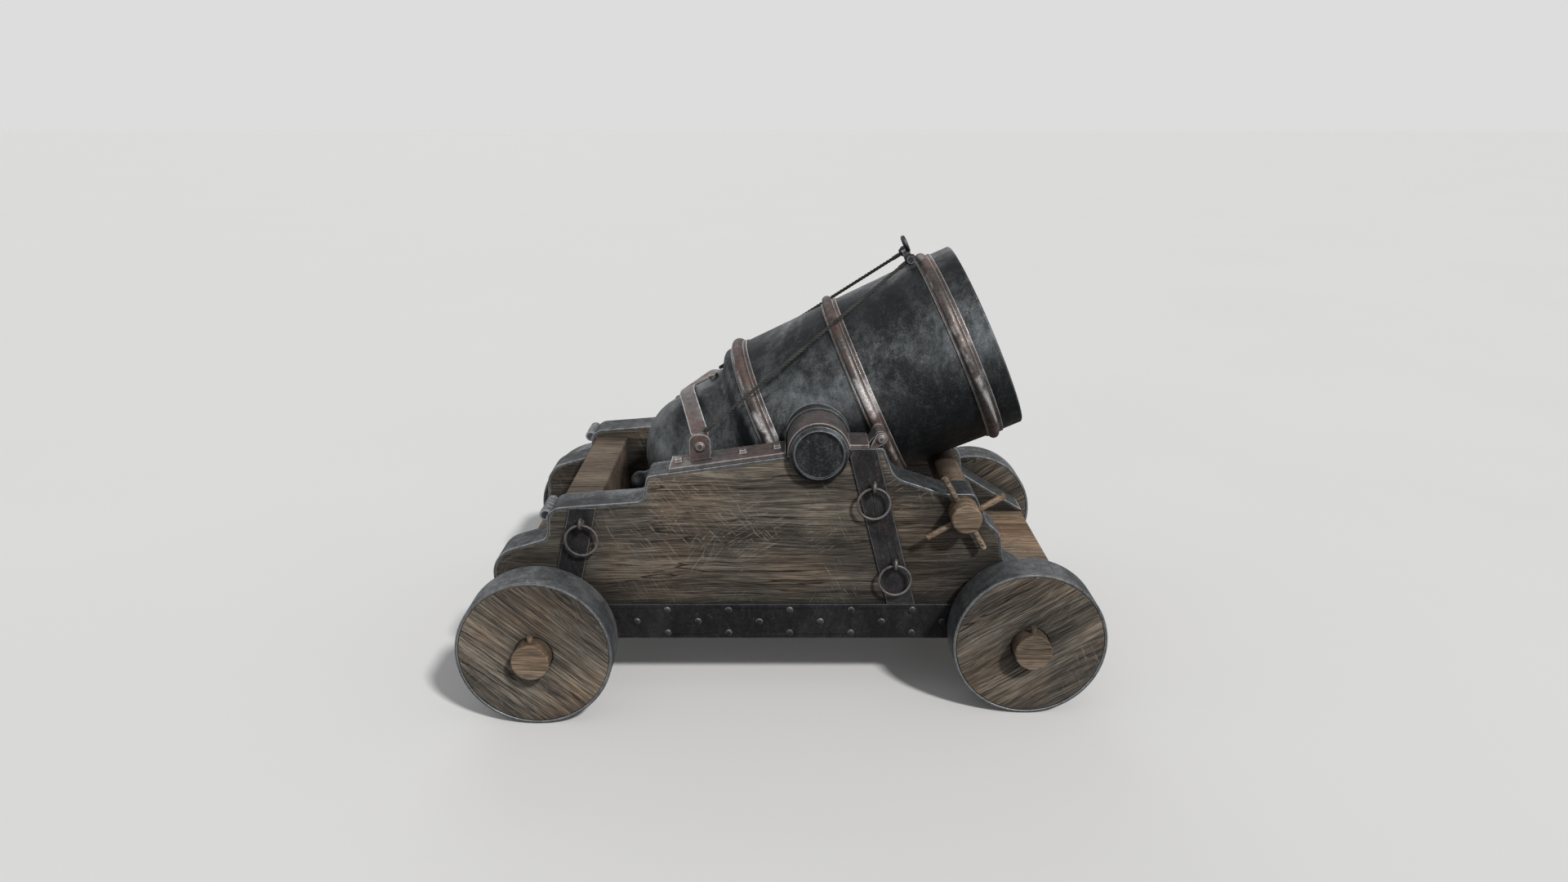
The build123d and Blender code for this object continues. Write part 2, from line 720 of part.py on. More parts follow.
# ---------------------------------------------------------------------------
# Breech strap: a saddle on the chamber, two legs out to the lugs, and tabs bolted to them
# ---------------------------------------------------------------------------
leg_end = (lug_x, lug_top - strap_t / 2)
with BuildPart() as breech_strap:
    with BuildSketch(across(strap_s - strap_w / 2)):
        Circle(saddle_in_r + strap_t)
        Circle(saddle_in_r, mode=Mode.SUBTRACT)
        with Locations((0, saddle_in_r)):
            Rectangle(2 * saddle_half, 60, mode=Mode.INTERSECT)
    extrude(amount=strap_w)
    for side, _ in HANDS:
        start_plane = Plane(
            origin=(leg_start[0], side * leg_start_y, leg_start[1]),
            x_dir=(along_x, 0, along_z),
            z_dir=(0, -1, 0),
        )
        end_plane = Plane(
            origin=(leg_end[0], side * lug_near, leg_end[1]),
            x_dir=(1, 0, top_slope),
            z_dir=(0, -1, 0),
        )
        with BuildSketch(start_plane):
            Rectangle(strap_w, strap_t)
        with BuildSketch(end_plane):
            Rectangle(strap_w, strap_t)
        loft(ruled=True)
        with BuildSketch(slab(side, tab_near, lug_near)):
            with Locations((lug_x, (leg_end[1] + tab_foot) / 2)):
                Rectangle(strap_w - 2, leg_end[1] - tab_foot)
            with Locations((lug_x, lug_bolt_z)):
                Circle(lug_bolt_r, mode=Mode.SUBTRACT)
        extrude(amount=strap_t)
save(breech_strap, "breech_strap")

# ---------------------------------------------------------------------------
# Ribbed rolls on the second riser of each cheek
# ---------------------------------------------------------------------------
roll_r = 15.0
rib_r = 19.0
rib_w = 11.0
rib_count = 5
roll_centre = (tail_x + 169, brow_z - 121)
rib_pitch = (cheek_t - 20) / (rib_count - 1)
with BuildPart() as corner_rolls:
    for side, _ in HANDS:
        with BuildSketch(slab(side, cheek_in, cheek_out)):
            with Locations(roll_centre):
                Circle(roll_r)
            add(outline.sketch, mode=Mode.SUBTRACT)
        extrude(amount=cheek_t)
        for n in range(rib_count):
            near = cheek_in + 10 + n * rib_pitch - rib_w / 2
            with BuildSketch(slab(side, near, near + rib_w)):
                with Locations(roll_centre):
                    Circle(rib_r)
                add(outline.sketch, mode=Mode.SUBTRACT)
            extrude(amount=rib_w)
save(corner_rolls, "corner_rolls")

# ---------------------------------------------------------------------------
# Barrel with cascabel, trunnions and bore
# ---------------------------------------------------------------------------
with BuildPart() as barrel:
    with BuildSketch(bore_plane):
        with BuildLine():
            Polyline(
                (chamber_rear_s - dome_length, 0),
                (muzzle_s, 0),
                (muzzle_s, muzzle_r - 4),
                (muzzle_s - 4, muzzle_r),
                (swell_s, muzzle_r),
                (flare_s, flare_r),
            )
            Spline(
                (flare_s, flare_r),
                (chamber_front_s, chamber_front_r),
                tangents=((-1, -0.35), (-1, -0.2)),
            )
            Line((chamber_front_s, chamber_front_r), (chamber_rear_s, chamber_rear_r))
            EllipticalCenterArc((chamber_rear_s, 0), dome_length, chamber_rear_r, 90, arc_size=90)
        make_face()
    revolve(axis=bore_axis)
    # Cascabel button
    with BuildSketch(bore_plane):
        with BuildLine():
            neck_top = (chamber_rear_s - dome_length + 8, button_neck_r + 12)
            button_join = radians(button_join_angle)
            button_top = (button_s + button_r * cos(button_join), button_r * sin(button_join))
            Polyline((chamber_rear_s, 0), (chamber_rear_s, button_neck_r), neck_top)
            ThreePointArc(neck_top, (chamber_rear_s - dome_length - 7, button_neck_r), button_top)
            CenterArc((button_s, 0), button_r, button_join_angle, 180 - button_join_angle)
            Line((button_s - button_r, 0), (chamber_rear_s, 0))
        make_face()
    revolve(axis=bore_axis)
    # Trunnions, their rimbases and end collars
    collar_near = cheek_out + cap_overhang + side_gap
    collar_far = collar_near + collar_w
    for side, _ in HANDS:
        for near, far, r in (
            (bore_r + trunnion_root, cheek_in - side_gap, trunnion_r + rimbase_rise),
            (bore_r + trunnion_root, collar_near, trunnion_r),
            (collar_near, collar_far, trunnion_r + collar_rise),
        ):
            with BuildSketch(slab(side, near, far)):
                with Locations((trunnion_x, trunnion_z)):
                    Circle(r)
            extrude(amount=far - near)
        face = barrel.faces().filter_by(GeomType.PLANE).sort_by(Axis.Y)[0 if side == RIGHT else -1]
        chamfer(face.edges(), length=8, length2=11)
        with BuildSketch(slab(side, collar_far - trunnion_dish, collar_far)):
            with Locations((trunnion_x, trunnion_z)):
                Circle(trunnion_r - trunnion_rim)
        extrude(amount=trunnion_dish, mode=Mode.SUBTRACT)
    # Bore with a round end
    bore_end = muzzle_s - bore_length
    with BuildSketch(bore_plane):
        with BuildLine():
            Polyline((bore_end - bore_r, 0), (muzzle_s + 1, 0), (muzzle_s + 1, bore_r), (bore_end, bore_r))
            CenterArc((bore_end, 0), bore_r, 90, 90)
        make_face()
    revolve(axis=bore_axis, mode=Mode.SUBTRACT)
save(barrel, "barrel")

# ---------------------------------------------------------------------------
# Hoops shrunk on the barrel: a half-round between two flat edges
# ---------------------------------------------------------------------------
muzzle_hoop_s = swell_s - 8
for name, start, width, rise in (
    ("chamber_hoop", chamber_hoop_s, chamber_hoop_w, chamber_hoop_rise),
    ("middle_hoop", middle_hoop_s - middle_hoop_w / 2, middle_hoop_w, middle_hoop_rise),
    ("muzzle_hoop", muzzle_hoop_s, muzzle_hoop_w, muzzle_hoop_rise),
):
    end = start + width
    with BuildPart() as hoop:
        with BuildSketch(bore_plane):
            with BuildLine():
                Polyline(
                    (start + hoop_lip, body_r(start) + hoop_lip_h),
                    (start, body_r(start) + hoop_lip_h),
                    (start, body_r(start)),
                    *([(swell_s, muzzle_r)] if start < swell_s < end else []),
                    (end, body_r(end)),
                    (end, body_r(end) + hoop_lip_h),
                    (end - 2 * hoop_lip, body_r(end) + hoop_lip_h),
                )
                ThreePointArc(
                    (start + hoop_lip, body_r(start) + hoop_lip_h),
                    ((start + end - hoop_lip) / 2, body_r((start + end) / 2) + rise),
                    (end - 2 * hoop_lip, body_r(end) + hoop_lip_h),
                )
            make_face()
        revolve(axis=bore_axis)
    save(hoop, name)

# Vent patch on the chamber
vent_s = chamber_front_s - 18
vent_r = 17.0
vent_h = 12.0
with BuildPart() as vent_patch:
    x, z = barrel_point(vent_s, chamber_r(vent_s) - 6)
    with BuildSketch(Plane(origin=(x, 0, z), x_dir=(0, 1, 0), z_dir=(-along_z, 0, along_x))):
        Circle(vent_r)
    extrude(amount=vent_h + 6, taper=8)
    add(barrel.part, mode=Mode.SUBTRACT)
save(vent_patch, "vent_patch")

# ---------------------------------------------------------------------------
# Muzzle eye: saddle, stem and lifting eye in one forging, with a cross pin for the stays
# ---------------------------------------------------------------------------
saddle_w = 23.0
eye_s = muzzle_hoop_s - saddle_w / 2 - 1
eye_lean = 8.0  # of the lifting eye towards the muzzle
stem_h = 50.0
pin_u = body_r(eye_s) + stay_pin_rise
stay_pin_r = 7.0
lift_eye_r = 22.0
lift_wire_r = 7.0
with BuildPart() as muzzle_eye:
    with BuildSketch(across(eye_s - saddle_w / 2)):
        Circle(body_r(eye_s) + 8)
        Circle(body_r(eye_s) - 8, mode=Mode.SUBTRACT)
        with Locations((0, body_r(eye_s))):
            Rectangle(96, 60, mode=Mode.INTERSECT)
    extrude(amount=saddle_w)
    with BuildSketch(across(eye_s - saddle_w / 2)):
        with Locations((0, body_r(eye_s) + stem_h / 2)):
            Rectangle(34, stem_h)
    extrude(amount=saddle_w)
    add(barrel.part, mode=Mode.SUBTRACT)
    x, z = barrel_point(eye_s + eye_lean, pin_u + 12 + lift_eye_r)
    with BuildSketch(Plane(origin=(x, 0, z), x_dir=(0, 1, 0), z_dir=(-along_z, 0, along_x))):
        with Locations((lift_eye_r, 0)):
            Circle(lift_wire_r)
    revolve(axis=Axis((x, 0, z), (along_x, 0, along_z)))
    pin_x, pin_z = barrel_point(eye_s, pin_u)
    with BuildSketch(Plane.XZ.offset(-50)):
        with Locations((pin_x, pin_z)):
            Circle(stay_pin_r)
    extrude(amount=100, mode=Mode.SUBTRACT)
save(muzzle_eye, "muzzle_eye")

# The cross pin is long enough to hold both stays at their slant.
pin_head_r = stay_pin_r + 5
stay_foot = Vector(lug_x + 12, lug_near + lug_t / 2, lug_top + stay_r)
slant = (Vector(pin_x, stay_spread, pin_z) - stay_foot).normalized().Y
upright = sqrt(1 - slant**2)
pin_half = stay_spread + (pin_head_r * abs(slant) + stay_r) / upright + stay_gap
with BuildPart() as stay_pin:
    with BuildSketch(Plane.XZ.offset(-pin_half)):
        with Locations((pin_x, pin_z)):
            Circle(stay_pin_r)
    extrude(amount=2 * pin_half)
    for side, _ in HANDS:
        with BuildSketch(slab(side, pin_half, pin_half + 8)):
            with Locations((pin_x, pin_z)):
                Circle(pin_head_r)
        extrude(amount=8)
save(stay_pin, "stay_pin")

# ---------------------------------------------------------------------------
# Rope stays from the strap lugs to the cross pin
# ---------------------------------------------------------------------------
for side, hand in HANDS:
    low = Vector(stay_foot.X, side * stay_foot.Y, stay_foot.Z)
    high = Vector(pin_x, side * stay_spread, pin_z)
    run = (high - low).normalized()
    low_end = low + run * 2
    high_end = high - run * (stay_pin_r + stay_gap + stay_r * abs(slant)) / upright
    with BuildPart() as stay:
        with BuildSketch(Plane(origin=low_end, z_dir=run)):
            Circle(stay_r)
        extrude(amount=(high_end - low_end).length)
        add(strap_lugs.part, mode=Mode.SUBTRACT)
        add(breech_strap.part, mode=Mode.SUBTRACT)
    save(stay, f"stay_{hand}")

# ---------------------------------------------------------------------------
# Windlass: a roller under the barrel, journals in the cheeks, and heads with crossed handspikes
# ---------------------------------------------------------------------------
head_in = cheek_out + side_gap
head_out = head_in + windlass_head_w
spoke_rows = ((120.0, 24.0), (31.0, 50.0))  # angle, distance out from the head's inner face
with BuildPart() as windlass:
    for reach, r in ((cheek_in - side_gap, roller_r), (head_in, journal_r)):
        with BuildSketch(Plane.XZ.offset(-reach)):
            with Locations((windlass_x, windlass_z)):
                Circle(r)
        extrude(amount=2 * reach)
    for side, _ in HANDS:
        with BuildSketch(slab(side, head_in, head_out)):
            with Locations((windlass_x, windlass_z)):
                Circle(windlass_head_r)
        extrude(amount=windlass_head_w)
    chamfer(windlass.faces().sort_by(Axis.Y)[0].edges(), length=4)
    chamfer(windlass.faces().sort_by(Axis.Y)[-1].edges(), length=4)
    for side, _ in HANDS:
        for angle, out in spoke_rows:
            run = Vector(cos(radians(angle)), 0, sin(radians(angle)))
            middle = Vector(windlass_x, side * (head_in + out), windlass_z)
            with BuildSketch(Plane(origin=middle - run * spoke_length / 2, z_dir=run)):
                Circle(spoke_r)
            extrude(amount=spoke_length, mode=Mode.SUBTRACT)
save(windlass, "windlass")

with BuildPart() as handspikes:
    for side, _ in HANDS:
        for angle, out in spoke_rows:
            run = Vector(cos(radians(angle)), 0, sin(radians(angle)))
            middle = Vector(windlass_x, side * (head_in + out), windlass_z)
            with BuildSketch(Plane(origin=middle - run * spoke_length / 2, z_dir=run)):
                Circle(spoke_r)
            extrude(amount=spoke_length)
save(handspikes, "handspikes")
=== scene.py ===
import json
import math
import random

import bmesh
import bpy
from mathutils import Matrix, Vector


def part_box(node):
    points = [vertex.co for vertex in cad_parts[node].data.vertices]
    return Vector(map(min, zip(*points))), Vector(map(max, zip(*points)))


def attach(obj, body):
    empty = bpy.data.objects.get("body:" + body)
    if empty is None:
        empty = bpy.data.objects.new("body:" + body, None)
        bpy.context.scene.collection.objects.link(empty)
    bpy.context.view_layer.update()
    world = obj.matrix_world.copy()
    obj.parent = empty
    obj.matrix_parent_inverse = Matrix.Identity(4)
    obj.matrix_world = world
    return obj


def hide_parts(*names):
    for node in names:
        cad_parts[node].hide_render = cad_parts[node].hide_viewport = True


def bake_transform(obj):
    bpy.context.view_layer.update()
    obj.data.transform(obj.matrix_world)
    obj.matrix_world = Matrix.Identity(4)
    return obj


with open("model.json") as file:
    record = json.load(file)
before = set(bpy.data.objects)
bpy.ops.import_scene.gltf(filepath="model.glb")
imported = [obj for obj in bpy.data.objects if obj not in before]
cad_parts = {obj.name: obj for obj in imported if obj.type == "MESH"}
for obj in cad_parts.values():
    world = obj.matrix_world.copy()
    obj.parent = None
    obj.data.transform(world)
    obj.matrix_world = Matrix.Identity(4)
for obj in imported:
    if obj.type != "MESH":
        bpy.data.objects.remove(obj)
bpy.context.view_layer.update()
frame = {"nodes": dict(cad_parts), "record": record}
nodes = frame["nodes"]
scene = bpy.context.scene
chance = random.Random(1771)

RIGHT, LEFT = -1, 1
HANDS = ((RIGHT, "right"), (LEFT, "left"))

# Sizes in metres
SAME_POINT = 0.00002  # corners nearer than this are one
ROPE_R = 0.0055
CROSS_PIN_R = 0.007
TWINE_R = 0.0012
TWINE_LAY = 0.0026  # from one turn of the whipping's twine to the next
TWINE_BEDDED = 0.0008  # how far the twine sinks into the rope
RIVET_HEAD_R = 0.0115
RIVET_HEAD_H = 0.0055
CAD_RIVET_HEAD_H = 0.005  # of the plain heads that the domed ones replace

# ---------------------------------------------------------------------------
# Camera, floor and light
# ---------------------------------------------------------------------------


def camera():
    """Camera a little over the barrel's height, square to the carriage's right side and tipped down."""
    lens = bpy.data.cameras.new("camera")
    lens.sensor_width = 36
    lens.lens = 24.44
    lens.clip_end = 200
    eye = bpy.data.objects.new("camera", lens)
    eye.location = (0, -3.358, 1.737)
    eye.rotation_euler = (math.radians(72.21), 0, 0)
    scene.collection.objects.link(eye)
    scene.camera = eye


def light(name, towards, softness, power, colour=(1, 1, 1)):
    """Broad light that comes from a direction and falls evenly over the whole floor."""
    lamp = bpy.data.lights.new(name, "SUN")
    lamp.angle = math.radians(softness)
    lamp.energy = power
    lamp.color = colour
    holder = bpy.data.objects.new(name, lamp)
    holder.rotation_euler = Vector(towards).to_track_quat("Z", "Y").to_euler()
    scene.collection.objects.link(holder)


def studio():
    """Pale floor, a key from the upper right, a weak light from behind, and a sky that dims overhead."""
    bpy.ops.mesh.primitive_grid_add(x_subdivisions=8, y_subdivisions=8, size=120)
    floor = bpy.context.object
    floor.name = "floor"
    floor.data.materials.append(floor_finish())
    # The floor neither lights the object from below nor shows in its iron
    floor.visible_diffuse = False
    floor.visible_glossy = False
    light("key", (0.46, -0.62, 0.72), softness=6, power=2.7, colour=(1.0, 0.985, 0.96))
    light("back", (-0.2, 0.8, 0.45), softness=40, power=0.35)
    world = bpy.data.worlds.new("studio")
    world.use_nodes = True
    tree = world.node_tree
    upwards = tree.nodes.new("ShaderNodeSeparateXYZ")
    tree.links.new(tree.nodes.new("ShaderNodeTexCoord").outputs["Generated"], upwards.inputs[0])
    glow = tree.nodes.new("ShaderNodeValToRGB")
    # Shades of grey by height: 0 straight down, 0.5 at the horizon and 1 straight up
    shades = ((0.46, 0.16), (0.483, 0.723), (0.62, 0.723), (0.80, 0.30))
    while len(glow.color_ramp.elements) < len(shades):
        glow.color_ramp.elements.new(0.5)
    for band, (height, grey) in zip(glow.color_ramp.elements, shades):
        band.position = height
        band.color = (grey, grey, grey, 1)
    half_up = tree.nodes.new("ShaderNodeMapRange")
    half_up.inputs["From Min"].default_value = -1
    tree.links.new(upwards.outputs["Z"], half_up.inputs["Value"])
    tree.links.new(half_up.outputs[0], glow.inputs[0])
    tree.links.new(glow.outputs[0], tree.nodes["Background"].inputs["Color"])
    scene.world = world
    scene.view_settings.view_transform = "Standard"


# ---------------------------------------------------------------------------
# Materials
# ---------------------------------------------------------------------------


class Surface:
    """A material as it is wired up. Each method adds nodes and returns an output socket."""

    def __init__(self, name):
        self.material = bpy.data.materials.new(name)
        self.material.use_nodes = True
        self.tree = self.material.node_tree
        self.shader = self.tree.nodes["Principled BSDF"]
        coordinates = self.tree.nodes.new("ShaderNodeTexCoord")
        self.place = coordinates.outputs["Object"]
        self.skin = coordinates.outputs["Normal"]

    def feed(self, socket, value):
        """Links an output to a socket, or sets the socket to a fixed value."""
        if isinstance(value, bpy.types.NodeSocket):
            self.tree.links.new(value, socket)
        else:
            socket.default_value = value

    def node(self, kind, inputs, output=0, **settings):
        """Any shader node, with its settings and what goes into its sockets."""
        made = self.tree.nodes.new(kind)
        for key, value in settings.items():
            setattr(made, key, value)
        for socket, value in inputs.items():
            self.feed(made.inputs[socket], value)
        return made.outputs[output]

    def turned(self, vector, degrees):
        """Coordinates turned about Y, so that X lies along a slanting grain."""
        turn = (0, math.radians(degrees), 0)
        return self.node("ShaderNodeMapping", {"Vector": vector, "Rotation": turn})

    def noise(self, vector, scale, detail=5.0, roughness=0.6, distortion=0.0):
        """Noise whose cells are 1 / scale metres along each axis."""
        per_axis = (scale, scale, scale) if isinstance(scale, (int, float)) else scale
        place = self.node("ShaderNodeMapping", {"Vector": vector, "Scale": per_axis})
        inputs = {
            "Vector": place,
            "Scale": 1.0,
            "Detail": detail,
            "Roughness": roughness,
            "Distortion": distortion,
        }
        return self.node("ShaderNodeTexNoise", inputs)

    def maths(self, operation, a, b=0.0):
        """One sum on a and b."""
        return self.node("ShaderNodeMath", {0: a, 1: b}, operation=operation)

    def spread(self, value, low, high, to_low=0.0, to_high=1.0):
        """Value stretched from low..high to the new range, smoothly and clamped."""
        inputs = {"Value": value, "From Min": low, "From Max": high, "To Min": to_low, "To Max": to_high}
        return self.node("ShaderNodeMapRange", inputs, interpolation_type="SMOOTHSTEP")

    def lines(self, value, centre, half_width):
        """1 on the contour where value crosses centre, falling to 0 at half_width from it."""
        away = self.maths("ABSOLUTE", self.maths("SUBTRACT", value, centre))
        return self.spread(away, 0.0, half_width, 1.0, 0.0)

    def ramp(self, value, *stops):
        """Colour ramp through (position, colour) stops."""
        made = self.tree.nodes.new("ShaderNodeValToRGB")
        bands = made.color_ramp.elements
        while len(bands) < len(stops):
            bands.new(0.5)
        for band, (position, colour) in zip(bands, stops):
            band.position = position
            band.color = (*colour, 1)
        self.feed(made.inputs[0], value)
        return made.outputs[0]

    def mix(self, share, a, b, blend="MIX"):
        """Colour a with a share of colour b laid over it."""
        made = self.tree.nodes.new("ShaderNodeMix")
        made.data_type = "RGBA"
        made.blend_type = blend
        self.feed(made.inputs["Factor"], share)
        for socket, value in ((made.inputs[6], a), (made.inputs[7], b)):
            self.feed(socket, (*value, 1) if isinstance(value, tuple) else value)
        return made.outputs[2]

    def edges(self, radius, sharp=0.05, strong=0.3):
        """1 along convex and concave edges within about radius, from how far a rounded normal turns."""
        rounded = self.node("ShaderNodeBevel", {"Radius": radius}, samples=4)
        plain = self.node("ShaderNodeNewGeometry", {}, output="Normal")
        inputs = {0: rounded, 1: plain}
        match = self.node("ShaderNodeVectorMath", inputs, output="Value", operation="DOT_PRODUCT")
        return self.spread(self.maths("SUBTRACT", 1.0, match), sharp, strong)

    def shelter(self, distance):
        """1 in the open, falling towards 0 in corners."""
        return self.node("ShaderNodeAmbientOcclusion", {"Distance": distance}, output="AO", samples=4)

    def bump(self, height, distance, strength=1.0, below=None):
        """Relief of a height of distance metres, over the relief below where there is one."""
        inputs = {"Height": height, "Distance": distance, "Strength": strength}
        if below is not None:
            inputs["Normal"] = below
        return self.node("ShaderNodeBump", inputs)

    def finish(self, colour, roughness, normal, **fixed):
        """Wires up the shader, sets its fixed values and returns the material."""
        self.feed(self.shader.inputs["Base Color"], colour)
        self.feed(self.shader.inputs["Roughness"], roughness)
        self.feed(self.shader.inputs["Normal"], normal)
        for key, value in fixed.items():
            self.shader.inputs[key.replace("_", " ")].default_value = value
        return self.material


def floor_finish():
    """Matt pale floor, very slightly mottled."""
    s = Surface("studio_floor")
    mottle = s.noise(s.place, 0.6, 3)
    colour = s.ramp(mottle, (0.3, (0.686, 0.688, 0.694)), (0.7, (0.696, 0.698, 0.704)))
    return s.finish(colour, s.spread(mottle, 0.3, 0.7, 0.85, 0.95), s.bump(mottle, 0.0005))


def oak(name, dark, middle, pale, grain_turn=0.0, scored=0.0, cracked=0.6, shaded_ends=(), warm=0.5):
    """Weathered oak with its grain along X, turned by grain_turn about Y.

    scored is the strength of its pale score marks, cracked that of its checks, and warm that of its warmer
    patches. Each of shaded_ends is an axis and the points along it where the wood's painted shade is darkest
    and where it ends.
    """
    s = Surface(name)
    grain = s.turned(s.place, grain_turn)
    bends = {0: s.noise(grain, (2.2, 6, 6), 2), 1: (0.0, 0.0, 0.035)}
    wavy = s.node("ShaderNodeVectorMath", bends, operation="MULTIPLY")
    grain = s.node("ShaderNodeVectorMath", {0: grain, 1: wavy})
    boards = s.noise(grain, (1.1, 9, 9), 4, 0.5)
    streaks = s.noise(grain, (3.5, 95, 95), 8, 0.72, 0.3)
    fibres = s.noise(grain, (16, 330, 330), 5, 0.65, 0.2)
    figure = s.maths("ADD", s.maths("MULTIPLY", boards, 0.34), s.maths("MULTIPLY", streaks, 0.36))
    figure = s.maths("ADD", figure, s.maths("MULTIPLY", fibres, 0.34))
    colour = s.ramp(figure, (0.42, dark), (0.52, middle), (0.62, pale))
    # Broad patches: some warmer, some cold and dirty
    tint = s.noise(s.place, 4.2, 5, 0.6)
    warmth = (1.0 + 0.42 * warm, 1.0, 1.0 - 0.34 * warm)
    colour = s.mix(s.spread(tint, 0.46, 0.66, 0.0, 0.75), colour, warmth, "MULTIPLY")
    colour = s.mix(s.spread(tint, 0.34, 0.5, 0.6, 0.0), colour, (0.52, 0.56, 0.58), "MULTIPLY")
    # Fine dark lines at three spacings, and wider checks
    for lines_per_metre, runs_per_metre, width, depth, centre in (
        (55, 1.1, 0.030, 0.75, 0.46),
        (120, 2.0, 0.045, 0.65, 0.51),
        (230, 5.0, 0.060, 0.5, 0.48),
    ):
        stretched = (runs_per_metre, lines_per_metre, lines_per_metre)
        contour = s.lines(s.noise(grain, stretched, 2, 0.55, 0.2), centre, width)
        colour = s.mix(s.maths("MULTIPLY", contour, depth), colour, tuple(0.75 * c for c in dark))
    check_noise = s.noise(grain, (1.0, 17, 17), 3, 0.5, 0.25)
    check_mask = s.spread(s.noise(grain, (2.0, 9, 9), 2), 0.47, 0.56)
    checks = s.maths("MULTIPLY", s.lines(check_noise, 0.5, 0.011), check_mask)
    colour = s.mix(s.maths("MULTIPLY", checks, cracked), colour, tuple(0.15 * c for c in dark))
    # Pale score marks in a few directions
    marks = 0.0
    for angle, seed_shift in ((-64, 3.1), (-48, 7.7), (58, 11.9), (30, 17.3)):
        slanted = s.turned(s.place, angle)
        shifted = s.node("ShaderNodeVectorMath", {0: slanted, 1: (seed_shift, seed_shift, seed_shift)})
        strokes = s.lines(s.noise(shifted, (5, 95, 95), 2, 0.5, 0.35), 0.52, 0.016)
        patches = s.spread(s.noise(shifted, 2.6, 3), 0.54, 0.62)
        marks = s.maths("MAXIMUM", marks, s.maths("MULTIPLY", strokes, patches))
    colour = s.mix(s.maths("MULTIPLY", marks, scored), colour, tuple(1.2 * c for c in pale))
    # Painted shade, darker towards the given ends and a little uneven
    for axis, darkest_at, unshaded_at in shaded_ends:
        along = s.node("ShaderNodeSeparateXYZ", {"Vector": s.place}, output=axis)
        uneven = s.spread(tint, 0.3, 0.55, 0.6, 1.0)
        end_shade = s.maths("MULTIPLY", s.spread(along, darkest_at, unshaded_at, 0.72, 0.0), uneven)
        colour = s.mix(end_shade, colour, (0.34, 0.35, 0.36), "MULTIPLY")
    # Rubbed corners, and painted shade in corners and where timbers meet iron
    worn = s.maths("MULTIPLY", s.edges(0.007), s.spread(streaks, 0.35, 0.6))
    colour = s.mix(s.maths("MULTIPLY", worn, 0.45), colour, tuple(1.25 * c for c in pale))
    painted_shade = s.spread(s.shelter(0.11), 0.35, 0.95, 0.8, 0.0)
    colour = s.mix(painted_shade, colour, tuple(0.45 * c for c in dark))
    relief = s.maths("SUBTRACT", s.maths("MULTIPLY", streaks, 0.8), s.maths("MULTIPLY", checks, 0.9))
    normal = s.bump(s.maths("ADD", relief, s.maths("MULTIPLY", fibres, 0.5)), 0.0035, 0.9)
    return s.finish(colour, s.spread(figure, 0.35, 0.65, 0.92, 0.68), normal, Specular_IOR_Level=0.28)


